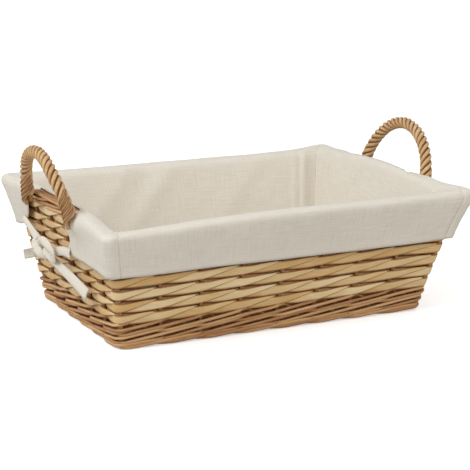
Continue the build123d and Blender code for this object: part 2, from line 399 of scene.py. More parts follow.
def combine(tree, x, y, z):
    """A vector from sockets or plain numbers."""
    node = tree.nodes.new("ShaderNodeCombineXYZ")
    feed(tree, node.inputs, (x, y, z))
    return node.outputs[0]


def noise_node(tree, vector, scale, detail=2.0):
    """A noise texture's value."""
    node = tree.nodes.new("ShaderNodeTexNoise")
    node.inputs["Scale"].default_value = scale
    node.inputs["Detail"].default_value = detail
    tree.links.new(vector, node.inputs["Vector"])
    return node.outputs[0]


def spread(tree, value, low, high):
    """Stretches low..high to 0..1."""
    node = tree.nodes.new("ShaderNodeMapRange")
    node.inputs["From Min"].default_value = low
    node.inputs["From Max"].default_value = high
    tree.links.new(value, node.inputs["Value"])
    return node.outputs[0]


def mix_colour(tree, factor, a, b):
    """A colour mix of sockets or plain colours."""
    node = tree.nodes.new("ShaderNodeMix")
    node.data_type = "RGBA"
    feed(tree, (node.inputs[0], node.inputs[6], node.inputs[7]), (factor, a, b))
    return node.outputs[2]


# %% willow grain group
colour_kind, number_kind = "NodeSocketColor", "NodeSocketFloat"
willow_grain, grain_in, grain_out = new_group(
    "willow_grain",
    [("Along", number_kind), ("Across", number_kind), ("Tone", number_kind),
     ("Pale", colour_kind), ("Dark", colour_kind), ("Bark and shade", colour_kind),
     ("Shade and bark edge", number_kind)],
    [("Color", colour_kind), ("Roughness", number_kind), ("Height", number_kind)],
)
g = willow_grain
along, across, tone = (grain_in.outputs[label] for label in ("Along", "Across", "Tone"))
shift = times(g, tone, 31.7)        # each strip reads its own part of the noise
fibre_place = combine(g, times(g, along, 30.0), times(g, across, 3.2), shift)
fibres = noise_node(g, fibre_place, 2.2, 4.0)
drift = noise_node(g, combine(g, times(g, along, 16.0), shift, 0.0), 1.0, 1.0)
stain = plus(g, times(g, fibres, 0.6), times(g, drift, 0.5))
stain = plus(g, stain, times(g, tone, 0.35))
pale, dark = grain_in.outputs["Pale"], grain_in.outputs["Dark"]
wood = mix_colour(g, spread(g, stain, 0.45, 0.95), pale, dark)
# the dark colour along both edges: on a split strip partly its bark and partly painted shade in the
# gaps between rows; on a round rod, where across is ±1 on two sides, painted shade in the grooves
# between neighbouring rods
edge = plus(g, math_node(g, "ABSOLUTE", across), times(g, fibres, 0.25))
edge = times(g, spread(g, edge, 0.74, 1.02), grain_in.outputs["Shade and bark edge"])
wood = mix_colour(g, edge, wood, grain_in.outputs["Bark and shade"])
g.links.new(wood, grain_out.inputs["Color"])
g.links.new(plus(g, times(g, fibres, 0.25), 0.42), grain_out.inputs["Roughness"])
g.links.new(fibres, grain_out.inputs["Height"])
print("willow grain:", len(g.nodes), "nodes")


# %% willow finishes
def new_material(name):
    """A node material with its Principled shader."""
    material = bpy.data.materials.new(name)
    material.use_nodes = True
    return material, material.node_tree, material.node_tree.nodes["Principled BSDF"]


def attribute(tree, name):
    """One of the three numbers kept on the mesh."""
    node = tree.nodes.new("ShaderNodeAttribute")
    node.attribute_name = name
    return node.outputs["Fac"]


def add_bump(tree, shader, height, strength, depth):
    """A Bump node that feeds the shader's normal."""
    bump = tree.nodes.new("ShaderNodeBump")
    bump.inputs["Strength"].default_value = strength
    bump.inputs["Distance"].default_value = depth
    tree.links.new(height, bump.inputs["Height"])
    tree.links.new(bump.outputs["Normal"], shader.inputs["Normal"])


def willow(name, pale, dark, bark_and_shade, bark_and_shade_edge, on_cad=False):
    """A willow finish. CAD sticks have no numbers of their own, so they read their place."""
    material, tree, shader = new_material(name)
    group = tree.nodes.new("ShaderNodeGroup")
    group.node_tree = willow_grain
    if on_cad:
        place = tree.nodes.new("ShaderNodeTexCoord").outputs["Object"]
        parts = tree.nodes.new("ShaderNodeSeparateXYZ")
        tree.links.new(place, parts.inputs[0])
        sources = (
            parts.outputs["Z"],
            times(tree, plus(tree, parts.outputs["X"], parts.outputs["Y"]), 300.0),
            noise_node(tree, place, 9.0, 0.0),
        )
    else:
        sources = [attribute(tree, label) for label in ("along", "across", "tone")]
    for label, source in zip(("Along", "Across", "Tone"), sources):
        tree.links.new(source, group.inputs[label])
    for label, colour in (("Pale", pale), ("Dark", dark), ("Bark and shade", bark_and_shade)):
        group.inputs[label].default_value = (*colour, 1)
    group.inputs["Shade and bark edge"].default_value = bark_and_shade_edge
    tree.links.new(group.outputs["Color"], shader.inputs["Base Color"])
    tree.links.new(group.outputs["Roughness"], shader.inputs["Roughness"])
    shader.inputs["Specular IOR Level"].default_value = 0.35
    add_bump(tree, shader, group.outputs["Height"], 0.5, 0.4 * mm)
    return material


# the strips' dark edges are partly bark and partly painted shade between rows; on the round rods
# and the handle the dark edges are painted shade in the grooves between rods and strands, and the
# stakes get none
strip_willow = willow(
    "pale_strip_willow", (0.92, 0.74, 0.44), (0.70, 0.44, 0.17), (0.42, 0.17, 0.045), 1.0,
)
brown_willow = willow(
    "brown_rod_willow", (0.80, 0.50, 0.24), (0.44, 0.20, 0.075), (0.20, 0.075, 0.025), 0.6,
)
handle_willow = willow(
    "handle_willow", (0.80, 0.56, 0.30), (0.50, 0.27, 0.10), (0.22, 0.085, 0.03), 0.9,
)
stake_willow = willow(
    "stake_willow", (0.50, 0.28, 0.12), (0.30, 0.13, 0.045), (0.2, 0.08, 0.02), 0.0, on_cad=True,
)
print("willow finishes:", [m.name for m in bpy.data.materials if "willow" in m.name])

# %% [markdown]
# ## Stakes
#
# The stakes are plain round sticks, mostly hidden. The CAD sticks have the right
# shape already, so they stay and only get their willow. The same goes for the
# sticks of the base.

# %% stakes
for node in ("front_stakes", "back_stakes", "left_stakes", "right_stakes", "base_sticks"):
    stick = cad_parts[node]
    stick.data.materials.clear()
    stick.data.materials.append(stake_willow)
print("stakes keep their CAD shape")

# %% [markdown]
# ## Split strips
#
# The wall is woven in pairs of flat split strips. One passes in front of a
# stake while its partner is behind it. As a strip goes on to the next stake it
# turns on edge: its lower edge lifts, slants across its partner and slips
# behind the stake near the top of the row. It could be a curve with a flat
# bevel, but then its two edges couldn't be steered apart. So a grid is rolled
# up, and a short table says where both edges are between two stakes.

# %% split strips
strip_rows = [f"chip_row_{number}" for number in range(1, 8)]
cells_per_space = 16
strip_thick = 1.5 * mm
section_cells = 10
strip_table = [
    # spaces past the stake in front, upper edge out and up, lower edge out and up, in millimetres
    (-1.00, -3.8, 7.4, -3.8, -7.4), (-0.90, -3.6, 7.4, -2.0, -7.3), (-0.80, -2.6, 7.2, 0.6, -7.2),
    (-0.50, -0.4, 7.0, 2.3, -7.3), (-0.20, 1.6, 6.2, 3.2, -6.3), (-0.08, 2.9, 5.7, 3.6, -5.7),
    (0.00, 3.5, 5.8, 3.7, -5.6), (0.20, 3.6, 6.0, 4.2, -4.1), (0.50, 3.1, 6.8, 4.7, 0.2),
    (0.75, 2.2, 6.7, 4.0, 3.6), (0.88, 0.0, 6.4, 1.6, 4.2),
    (0.95, -2.6, 7.0, -2.6, 0.0), (1.00, -3.8, 7.3, -3.8, -7.3),
]


def rounded_flat(step, cells):
    """A flat section with rounded edges: places across and out, both -1 to 1."""
    angle = 2 * math.pi * step / cells
    c, s = math.cos(angle), math.sin(angle)
    return math.copysign(abs(c) ** 0.55, c), math.copysign(abs(s) ** 0.7, s)


def strip_edges(t):
    """Both edges of a strip at t, eased between the rows of the table."""
    for before, after in zip(strip_table, strip_table[1:]):
        if t <= after[0]:
            break
    share = (t - before[0]) / (after[0] - before[0])
    if before[0] < -0.85 or after[0] > 0.85:
        share = ease(share)
    return [a + (b - a) * share for a, b in zip(before[1:], after[1:])]


def weave_strip(bm, middle_z, first, row):
    """One strip all the way round, in front of every second stake from the first."""
    start = first + 1 + 14          # its ends meet behind a stake of the back wall
    seed = row * 2 + first

    def place(step_u, step_v):
        q = start + step_u / cells_per_space
        stake = 2 * round((q - first) / 2) + first
        t = q - stake
        # three neighbouring looks at the table round off its corners
        looks = [strip_edges(max(-1, min(1, t + nudge))) for nudge in (-0.05, 0, 0.05)]
        out_high, z_high, out_low, z_low = (sum(values) / 3 for values in zip(*looks))
        across, lift = rounded_flat(step_v, section_cells)
        share = (across + 1) / 2
        out = (out_low + (out_high - out_low) * share) * mm
        z = (z_low + (z_high - z_low) * share) * (1 + 0.08 * wave(q * 0.9 + 40, seed)) * mm
        z += 1.1 * mm * wave(q * 0.8, seed) + 0.6 * mm * t * (1 - abs(t))
        out += 0.5 * mm * wave(q * 1.1 + 7, seed) * (1 - abs(t))
        # the section's own thickness points away from its face, so it leans with the two edges
        lean = math.atan2(out_high - out_low, max(z_high - z_low, 0.5))
        thick = lift * strip_thick / 2 + 0.3 * mm * (1 - across * across)
        spot = wall_place(q, middle_z + z - thick * math.sin(lean), out + thick * math.cos(lean))
        tone_here = random.Random(stake % stake_count * 97 + seed).random()
        return spot, (q - start) * 0.05, across, tone_here

    add_grid(bm, stake_count * cells_per_space, section_cells, place)


for row, name in enumerate(strip_rows):
    low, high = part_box(f"{name}_outer")
    shape = start_piece()
    for first in (0, 1):
        weave_strip(shape, (low.z + high.z) / 2, first, row)
    finish_piece(
        shape, f"strip_row_{row + 1}", "basket", strip_willow,
        (f"{name}_outer", f"{name}_inner"),
    )

# %% [markdown]
# ## Corner posts
#
# A thicker stick stands right in each corner, where the strips bend sharply
# round it and show it between the rows. Each one is a rod from the foot to the
# rim, so it shares the rod helper that the handles use later.

# %% corner posts
shape = start_piece()
corner_stick_radius = 2.9 * mm
for post in corner_swell:
    ends = [wall_place(post, z * mm, 0) for z in (6, 40, 80, 120, 143)]
    add_rod(shape, ends, corner_stick_radius, random.Random(post).random())
finish_piece(shape, "corner_sticks", "basket", brown_willow, ("corner_posts",))

# %% [markdown]
# ## Wales
#
# A wale is a rope-like round of three rods. Each rod passes in front of two
# stakes and behind one, and every rod starts one stake after the one before. As
# the stakes aren't a multiple of three, one rod can run three times round and
# close on itself, which makes all three in a single tube. The foot has three
# rounds, the lowest in thicker rods, and a thin round locks the stakes under
# the rim. A packing rod inside each foot round closes it against the light.

# %% wales
def add_wale(bm, middle_z, rod, climb, limit, swing, seed):
    """One round of three-rod wale as a single rod that goes round three times."""
    start = 15.5
    wander = 0.4 if limit < 3 * mm else 0.9

    def place(step_u, step_v):
        q = start + step_u / cells_per_space
        middle = 3 * round((q - 1.5 - 0.5) / 3) + 2.0
        t = q - middle
        front = 1 - ease((abs(t) - 0.75) / 0.75)
        fall = 1 - ease((abs(t) - 1.15) / 0.35)
        rise = max(-limit, min(limit, climb * t)) * fall
        z = middle_z + rise + wander * mm * wave(q * 0.8, seed)
        radius = rod / 2 * (1 + 0.12 * wave(q * 0.33 + 9, seed))
        out = swing * (2 * front - 1) + 0.8 * mm * wave(q * 0.5 + 30, seed)
        angle = 2 * math.pi * step_v / round_cells
        spot = wall_place(q, z + radius * math.sin(angle), out + radius * math.cos(angle))
        tone_here = random.Random(int(middle) * 31 + seed).random()
        return spot, (q - start) * 0.05, math.sin(angle), tone_here

    add_grid(bm, 3 * stake_count * cells_per_space, round_cells, place)


def add_packing(bm, middle_z):
    """A broad rod inside one round, all the way round the basket."""
    def place(step_u, step_v):
        q, angle = step_u / 4, 2 * math.pi * step_v / round_cells
        out = packing_out + packing_half_width * math.cos(angle)
        spot = wall_place(q, middle_z + packing_half_height * mm * math.sin(angle), out * mm)
        # across 1 and tone 1 give the whole packing rod the dark edge colour and the darkest tone:
        # painted shade seen through the gaps of the foot rounds
        return spot, q * 0.05, 1.0, 1.0

    add_grid(bm, 4 * stake_count, round_cells, place)


packing_out, packing_half_width, packing_half_height, packing_up = -4.4, 2.2, 5.3, 4.4
wales = (
    # name, nodes, then in millimetres: middle height, rod, climb, limit, swing
    ("foot_rods", ("foot_border",), 5.6, 5.6, 3.8, 2.4, 4.8),
    ("foot_wale_1", ("foot_wale_1_outer", "foot_wale_1_inner"), 14.6, 4.4, 6.6, 7.2, 4.8),
    ("foot_wale_2", ("foot_wale_2_outer", "foot_wale_2_inner"), 24.5, 4.4, 6.6, 7.2, 4.8),
    ("top_wale", ("top_wale_outer", "top_wale_inner"), 137.2, 4.2, 4.2, 4.6, 4.6),
)
for number, (name, nodes, middle, *sizes) in enumerate(wales):
    shape = start_piece()
    add_wale(shape, middle * mm, *(size * mm for size in sizes), 50 + number)
    if name != "top_wale":
        add_packing(shape, (middle + packing_up) * mm)
    finish_piece(shape, name, "basket", brown_willow, nodes)

# %% [markdown]
# ## Rim border
#
# At the top the stakes are bent over and laid along the rim, each behind the
# next, so the border reads as a slack rope of six rods. A flattened helix with
# a long lead gives that look. Four whole turns round the basket bring every
# rod back to where it began.

# %% rim border
rim_rods = start_piece()
border_turns, border_rod, border_rods = 4, 4.5 * mm, 6
border_middle = (border_low + rim_top.z) / 2
border_wide, border_tall = 5.3 * mm, (rim_top.z - border_low - border_rod) / 2
for strand in range(border_rods):
    def place(step_u, step_v, strand=strand):
        q = 15 + step_u / cells_per_space
        phase = 2 * math.pi * (border_turns * q / stake_count + strand / border_rods)
        phase += 0.2 * wave(q * 0.6, 70 + strand)
        angle = 2 * math.pi * step_v / round_cells
        radius = border_rod / 2
        spot = wall_place(
            q,
            border_middle - rim_sag(q) + rim_rise(q) / 2
            + (border_tall + rim_rise(q) / 2) * math.sin(phase) + radius * math.sin(angle),
            border_wide * math.cos(phase) + radius * math.cos(angle),
        )
        return spot, step_u / cells_per_space * 0.05, math.sin(angle), 0.15 * strand

    add_grid(rim_rods, stake_count * cells_per_space, round_cells, place)
finish_piece(rim_rods, "rim_rods", "basket", brown_willow, ("rim_border",))

# %% [markdown]
# ## Handles
#
# A handle is a bent stick with four rods wound round it like a rope. The helix
# could be an array along a curve, but then its ends couldn't be steered, so it
# is made directly: each rod is a rolled grid that follows the arch and turns
# round it. Five thinner rods lash each leg: they leave the rope high on one
# side and wind down round the leg, each wider than the one above.

# %% arch of the handles
arch_radius, arch_tilt = 75 * mm, math.radians(13.2)
arch_x = rim_top.x + 5.59 * mm      # the arch stands outside the rim, and its centre below it
arch_z = rim_top.z - 12 * mm
twist_strands = 4
twist_reach, twist_rod, twist_lead = 4.7 * mm, 2.9 * mm, 36 * mm
bow_radius = 3.6 * mm
left_shift, left_narrowing = 7 * mm, 10 * mm    # how the left bow differs from a round arch
right_shift = 2.5 * mm              # how much further out the right bow stands


def arch_frame(turn, mirror=False):
    """Middle, outward and forward directions of an arch, turn 0 at its back foot."""
    lean = Vector((-math.sin(arch_tilt), 0, math.cos(arch_tilt)))
    outward = Vector((0, math.cos(turn), 0)) + lean * math.sin(turn)
    middle = Vector((-arch_x, -2 * mm, arch_z)) + outward * arch_radius
    forward = Vector((0, -math.sin(turn), 0)) + lean * math.cos(turn)
    if not mirror:
        # the left bow was bent by hand too, and came out narrower above its feet
        middle.y -= left_shift * math.sin(turn)
        if turn > math.pi / 2:
            middle.y += left_narrowing * math.sin(2 * turn) ** 2
    return middle, outward, forward


def on_side(spot, mirror):
    """A place on the left bow, or the same place on the right one when mirrored."""
    if mirror:
        spot.x = right_shift - spot.x
    return spot


def add_twist(bm, strand, mirror):
    """One rod of the rope round an arch."""
    first, last = math.radians(7), math.radians(173)
    cells = 150

    def place(step_u, step_v):
        turn = first + (last - first) * step_u / cells
        middle, outward, forward = arch_frame(turn, mirror)
        side = forward.cross(outward)
        # both handles are laid the same way, so the mirrored one turns back
        sense = -1 if mirror else 1
        phase = sense * 2 * math.pi * (turn * arch_radius / twist_lead + strand / twist_strands)
        towards = outward * math.cos(phase) + side * math.sin(phase)
        round_way = side * math.cos(phase) - outward * math.sin(phase)
        centre = middle + towards * twist_reach
        # the rod runs forward and round at once, so its section turns with it
        slope = math.atan2(2 * math.pi * twist_reach, twist_lead)
        heading = forward * math.cos(slope) + round_way * math.sin(slope) * sense
        broad = heading.cross(towards)
        angle = 2 * math.pi * step_v / round_cells
        radius = twist_rod * (1 + 0.12 * wave(turn * 6, strand + 5 * mirror))
        spot = centre + towards * radius * math.cos(angle) + broad * radius * math.sin(angle)
        tone_here = 0.5 + 0.5 * wave(turn * 4 + 3, strand * 3 + mirror)
        return on_side(spot, mirror), turn * arch_radius * 1.3, math.sin(angle), tone_here

    add_grid(bm, cells, round_cells, place)


print("arch from", [round(x / mm) for x in arch_frame(0)[0]])

# %% handles
lashing_rods, lashing_radius = 5, 2.1 * mm
for mirror, side in ((False, "left"), (True, "right")):
    shape = start_piece()
    for strand in range(twist_strands):
        add_twist(shape, strand, mirror)
    # the bow itself runs inside the rope
    turns = [math.radians(turn) for turn in range(0, 181, 9)]
    bow = [on_side(arch_frame(turn, mirror)[0], mirror) for turn in turns]
    add_rod(shape, bow, bow_radius, 1.0, cells=80)
    finish_piece(
        shape, f"{side}_handle_twist", "basket", handle_willow,
        (f"{side}_handle_rope", f"{side}_handle_core"),
    )
    shape = start_piece()
    for leg in (-1, 1):
        for rod in range(lashing_rods):
            points = []
            for step in range(9):
                share = step / 8
                z = (179 - 5.2 * rod) + (-23 - 0.4 * rod) * share ** 1.1
                turn = math.asin((z * mm - arch_z) / (arch_radius * math.cos(arch_tilt)))
                middle = arch_frame(turn if leg > 0 else math.pi - turn, mirror)[0]
                angle = math.radians(125 - 150 * share) * (-1 if mirror else 1)
                bulge = math.sin(math.pi * min(share * 1.1, 1)) ** 0.8
                wide = (5.2 + (3.2 + 0.9 * rod) * bulge) * mm
                spot = middle + Vector((-math.cos(angle), -math.sin(angle), 0)) * wide
                points.append(on_side(spot, mirror))
            tone_here = random.Random(rod + 7 * leg).random()
            add_rod(shape, points, lashing_radius, tone_here, cells=32)
    finish_piece(
        shape, f"{side}_handle_lashing", "basket", handle_willow,
        (f"{side}_handle_lashing",),
    )

# %% [markdown]
# ## Base
#
# Under the liner the base is a plain weave: sticks run lengthwise, and flat
# strips cross them, over one and under the next. Each strip is a rolled grid
# that waves up and down as it meets the sticks.

# %% base strips
base_low, base_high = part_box("base_strips")
stick_low, stick_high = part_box("base_sticks")
stick_count, base_strip_count, base_cells = 7, 24, 72
base_strip_half, base_strip_thick = 6.5 * mm, 1.5 * mm
base_middle = (base_low.z + base_high.z) / 2
stick_height = stick_high.z - stick_low.z
stick_space = (stick_high.y - stick_low.y - stick_height) / (stick_count - 1)
shape = start_piece()
base_pitch = (base_high.x - base_low.x - 2 * base_strip_half) / (base_strip_count - 1)
for number in range(base_strip_count):
    middle_x = (number - (base_strip_count - 1) / 2) * base_pitch
    reach = base_high.y - max(0.0, abs(middle_x) - (base_high.x - 22 * mm))

    def place(step_u, step_v, number=number, middle_x=middle_x, reach=reach):
        y = (step_u / base_cells * 2 - 1) * reach
        swing = math.cos(math.pi * y / stick_space) * (1 if number % 2 else -1)
        z = base_middle + swing * (stick_height / 2 + 0.8 * mm)
        across, lift = rounded_flat(step_v, section_cells)
        spot = Vector((middle_x + across * base_strip_half, y, z + lift * base_strip_thick / 2))
        return spot, y, across, random.Random(number).random()

    add_grid(shape, base_cells, section_cells, place)
finish_piece(
    shape, "base_strips_woven", "basket", strip_willow, ("base_strips",),
)

# %% [markdown]
# ## Cotton
#
# The liner is natural cotton in a plain weave: fine threads both ways, with
# thicker slubs here and there that read as short streaks. The group works in
# real metres from the numbers on the mesh, so the threads keep their size on
# every piece, however it bends.

# %% cotton weave group
cotton_weave, weave_in, weave_out = new_group(
    "cotton_weave",
    [("Along", number_kind), ("Across", number_kind), ("Thread", number_kind),
     ("Plain", colour_kind), ("Slub", colour_kind)],
    [("Color", colour_kind), ("Height", number_kind)],
)
g = cotton_weave
along, across = weave_in.outputs["Along"], weave_in.outputs["Across"]
threads = []
for way in (along, across):
    turns = math_node(g, "DIVIDE", way, weave_in.outputs["Thread"])
    threads.append(math_node(g, "SINE", times(g, turns, 2 * math.pi)))
fine, coarse = 900.0, 38.0          # a slub is thin one way and long the other
warp_place = combine(g, times(g, along, fine), times(g, across, coarse), 0.0)
slub_warp = noise_node(g, warp_place, 1.0, 3.0)
weft_place = combine(g, times(g, along, coarse), times(g, across, fine), 3.0)
slub_weft = noise_node(g, weft_place, 1.0, 3.0)
slubs = plus(g, slub_warp, slub_weft)
mottle = noise_node(g, combine(g, along, across, 0.0), 18.0, 2.0)
shade = plus(g, times(g, spread(g, slubs, 0.75, 1.3), 0.75), times(g, mottle, 0.3))
cloth_colour = mix_colour(g, shade, weave_in.outputs["Plain"], weave_in.outputs["Slub"])
g.links.new(cloth_colour, weave_out.inputs["Color"])
weave_height = plus(g, times(g, times(g, *threads), 0.35), slubs)
g.links.new(weave_height, weave_out.inputs["Height"])
print("cotton weave:", len(g.nodes), "nodes")


# %% cotton finishes
def cotton(name, plain, slub, thread):
    """A plain-weave cotton finish."""
    material, tree, shader = new_material(name)
    group = tree.nodes.new("ShaderNodeGroup")
    group.node_tree = cotton_weave
    tree.links.new(attribute(tree, "along"), group.inputs["Along"])
    tree.links.new(attribute(tree, "across"), group.inputs["Across"])
    group.inputs["Thread"].default_value = thread
    group.inputs["Plain"].default_value = (*plain, 1)
    group.inputs["Slub"].default_value = (*slub, 1)
    tree.links.new(group.outputs["Color"], shader.inputs["Base Color"])
    shader.inputs["Roughness"].default_value = 0.92
    shader.inputs["Specular IOR Level"].default_value = 0.2
    shader.inputs["Sheen Weight"].default_value = 0.12
    add_bump(tree, shader, group.outputs["Height"], 0.55, 0.35 * mm)
    return material


liner_cotton = cotton("liner_cotton", (0.87, 0.82, 0.735), (0.73, 0.665, 0.565), 0.8 * mm)
tape_cotton = cotton("tape_cotton", (0.90, 0.85, 0.76), (0.76, 0.69, 0.58), 1.1 * mm)
print("cotton finishes made")

# %% [markdown]
# ## Liner walls and cuff
#
# Each side of the liner is one sheet: it stands inside the wall, rolls over the
# rim and hangs outside as a cuff. The sheets meet in seams at the corners. All
# four follow one profile, given as places out from the stakes and heights, and
# a grid carries it round the basket. Slow waves loosen it, because cloth that
# is only pulled over a rim never lies dead flat.

# %% liner profile
liner_profile = [
    # out from the stakes, height
    (-19, 17.4), (-13, 18.0), (-10.4, 22), (-9.9, 32), (-9.7, 60), (-9.8, 95), (-9.8, 125),
    (-9.5, 141), (-8.6, 147.6), (-5.6, 151.0), (-1.0, 152.2), (4.0, 152.6), (8.8, 152.0),
    (12.0, 149.6), (13.4, 145.4), (13.4, 139), (12.7, 127), (11.8, 112), (11.2, 101), (10.9, 93.4),
]
profile_path = smooth_path([Vector((out, z, 0)) for out, z in liner_profile], 400)
profile_lengths = path_lengths(profile_path)
profile_length = profile_lengths[-1]
liner_rows = 70


def on_profile(length):
    """Place out and height in millimetres after a length along the profile."""
    high = min(bisect.bisect_right(profile_lengths, length), len(profile_lengths) - 1)
    before, after = profile_lengths[high - 1:high + 1]
    spot = profile_path[high - 1].lerp(profile_path[high], (length - before) / (after - before))
    return spot.x, spot.y


row_places = [on_profile(profile_length * row / liner_rows) for row in range(liner_rows + 1)]
rim_row = next(row for row, (out, z) in enumerate(row_places) if z > 151.2)
crest_row = next(row for row, (out, z) in enumerate(row_places) if out > 4)
print("liner profile", round(profile_length), "mm long, crest in row", crest_row)


# %% liner surface
# where the slit's front and back edges are at the rim, in stake spaces from its middle
slit_front, slit_back = (3 * half * mm / stake_half(rim_top.z)[1] for half in (61, 80))
# height and place along the end wall of the slit's two edges, in millimetres
front_edge = [
    (152, -61), (149, -70), (145, -71), (141, -66), (135.5, -60),
    (131, -54), (119, -50), (110, -46), (103, -36), (93, -20),
]
back_edge = [(152, 80), (147, 87), (143, 90), (131, 96), (118, 104), (106, 113), (93, 120)]


def on_edge(edge, z):
    """Where a slit's edge is at height z."""
    for (z0, y0), (z1, y1) in zip(edge, edge[1:]):
        if z >= z1:
            break
    return y0 + (y1 - y0) * min(max((z0 - z) / (z0 - z1), 0.0), 1.0)


def round_noise(q, pace, *rest):
    """Noise that goes round the basket and meets itself."""
    turn, reach = 2 * math.pi * q / stake_count, stake_count * pace / (2 * math.pi)
    return noise.noise(Vector((reach * math.cos(turn) + rest[0], reach * math.sin(turn), rest[1])))


# how far each corner's ear pokes out and up, in millimetres
corner_ears = {0: (3.0, 0.0), 8: (6.5, 3.0), 14: (4.0, 2.5), 22: (5.0, 0.5)}
# the slack folds of the inner walls: stake number and depth in millimetres
wall_folds = ((19.4, 2.2), (20.6, 1.6), (17.0, 1.2), (3.2, 1.5), (5.4, 1.5))
space_length = 52 * mm              # how much cloth each stake space takes


def cloth_place(q, row, near_seam, lift=0.0, swell=0.0):
    """The liner's surface at stake number q, with its waves and seam grooves."""
    out, z = row_places[row]
    z += lift
    outside = ease((out + 2) / 8)
    hang = ease((150 - z) / 50) * outside
    # slow waves: the cuff swings in and out, and its hem and crest rise and fall
    wander = round_noise(q, 0.75, 3.1, z * 0.012)
    ripple = round_noise(q, 2.1, 8.7, z * 0.03)
    corner, corner_near = nearest_corner(q)
    on_long_side = q % stake_count <= 8 or 14 <= q % stake_count <= 22
    long_side = ease(corner_near / 0.8) if on_long_side else 0
    pull = math.exp(-(corner_near / 0.5) ** 2)
    out += outside * (1.3 * hang * wander + 0.55 * ripple + 1.3 * long_side)
    out -= (1 - outside) * (0.5 + 0.6 * wander + 0.4 * ripple)
    # inside, a pleat stands in the back right corner and slack folds slant down the back wall
    inside = (1 - outside) * ease((z - 22) / 15)
    pleats = math.exp(-((q - 14.42) / 0.13) ** 2) + 0.5 * math.exp(-((q - 14.75) / 0.12) ** 2)
    out -= inside * 3.2 * pleats
    for fold, size in wall_folds:
        out -= inside * size * math.exp(-((q - fold + (z - 80) / 55) / 0.32) ** 2)
    hem_wave, crest_wave = round_noise(q, 0.55, 1.7, 0), round_noise(q, 0.8, 5.2, 0)
    z += outside * (1.6 * hang * hem_wave + 0.9 * (1 - hang) * crest_wave)
    # the rim sags towards the front left corner, and the right end stands a little proud
    z += (rim_rise(q) - rim_sag(q)) / mm * ease((z - 100) / 45)
    # each corner pokes up and out at the crest, with a tuck pulled in below it
    poke, raised = corner_ears[corner]
    z += pull * raised * math.exp(-((out - 8) / 7) ** 2)
    ear, tuck = math.exp(-((z - 147) / 25) ** 2), math.exp(-((z - 134) / 4) ** 2)
    out += outside * pull * (poke * ear - 0.5 * tuck + 3.5 * hang)
    # the hem is two layers thick, and each seam is a groove
    out += 0.5 * outside * ease((102 - z) / 2) * ease((z - 80) / 5)
    out -= (0.8 if outside > 0.5 else -0.8) * math.exp(-(near_seam / 0.03) ** 2)
    return wall_place(q, z * mm, (out + swell) * mm, radius=max(6 + 0.1 * out, 3) * mm)


def build_side(first, last, count, slit=False):
    """The grid of one side between two corner posts, with or without a slit for the handle."""
    bm = start_piece()
    steps = (0.0, 0.025, 0.055, 0.1, 0.17)     # close together near the seams
    places = [first + step for step in steps]
    inner = last - first - 2 * steps[-1]
    places += [first + steps[-1] + inner * step / count for step in range(1, count)]
    places += [last - step for step in reversed(steps)]
    middle = (first + last) / 2
    before, after = (slit_front, slit_back) if first == 8 else (slit_back, slit_front)
    if slit:
        for edge in (middle - before, middle + after):
            places[min(range(len(places)), key=lambda i: abs(places[i] - edge))] = edge
    end_way = 1 if first == 8 else -1           # +y along the right end, -y along the left

    def place(step_u, step_v):
        q, lift, swell = places[step_u], 0.0, 0.0
        near = min(q - first, last - q)
        number = (q - first) * space_length
        out, z = row_places[step_v]
        shift = 0.2 * ease((out - 2) / 8) * max(1 - near, 0) * (-1 if slit else 1)
        if slit and step_v > rim_row:
            post, straight = (first, middle - before) if q < middle else (last, middle + after)
            share = (q - post) / (straight - post)
            if share <= 1.0001:
                # beside the handle the wing hugs the border
                lift = -3.0 * ease((share - 0.6) / 0.4) * ease((z - 142) / 7)
            if share <= 1.0001 and step_v > crest_row:
                # each wing is drawn towards its own slanting edge
                front_wing = (q < middle) == (first == 8)
                if not front_wing:
                    lift += 9 * share ** 3 * ease((150 - z) / 57)
                y = on_edge(front_edge if front_wing else back_edge, z + lift)
                if front_wing:
                    # the cloth swells where it lies over the foot of the handle
                    swell = 6 * ease(share * 1.6 - 0.6) * math.exp(-((z - 136) / 11) ** 2)
                target = middle + end_way * 3 * y * mm / stake_half((z + lift) * mm)[1]
                q = post + (target - post) * share
        q += shift if q < middle else -shift
        spot = cloth_place(q, step_v, near, lift, swell)
        return spot, number, profile_length * mm * step_v / liner_rows, 0.5

    add_grid(bm, len(places) - 1, liner_rows, place)
    if slit:
        along_layer, across_layer = (bm.verts.layers.float[name] for name in ("along", "across"))
        ways = (-before - 0.001, after + 0.001)
        low, high = ((middle + way - first) * space_length for way in ways)
        rim_length = profile_length * mm * (rim_row + 0.99) / liner_rows
        bmesh.ops.delete(bm, context="FACES", geom=[
            face for face in bm.faces
            if all(low < v[along_layer] < high and v[across_layer] > rim_length for v in face.verts)
        ])
    return bm


# %% liner sheets
def add_thickness(piece, thickness):
    """Gives a flat cloth its thickness, half on each side."""
    solid = piece.modifiers.new("thickness", "SOLIDIFY")
    solid.thickness, solid.offset = thickness, 0


sides = (
    # name, posts, columns, side length, nodes
    ("liner_front", 0, 8, 110, 0.435, ("liner_front_wall", "liner_front_cuff")),
    ("liner_right", 8, 14, 84, 0.318,
     ("liner_right_wall", "liner_right_front_cuff", "liner_right_back_cuff")),
    ("liner_back", 14, 22, 110, 0.435, ("liner_back_wall", "liner_back_cuff")),
    ("liner_left", 22, 28, 84, 0.318,
     ("liner_left_wall", "liner_left_front_cuff", "liner_left_back_cuff")),
)
liner_thick, tape_thick = 1.1 * mm, 0.9 * mm
for name, first, last, count, side_length, nodes in sides:
    slit = last - first == 6
    shape = build_side(first, last, count, slit)
    piece = finish_piece(shape, name, "liner", liner_cotton, nodes, closed=False)
    add_thickness(piece, liner_thick)

floor_half_x, floor_half_y = (half - 17.5 * mm for half in stake_half(17.4 * mm))
floor_cells = (90, 60)
shape = start_piece()


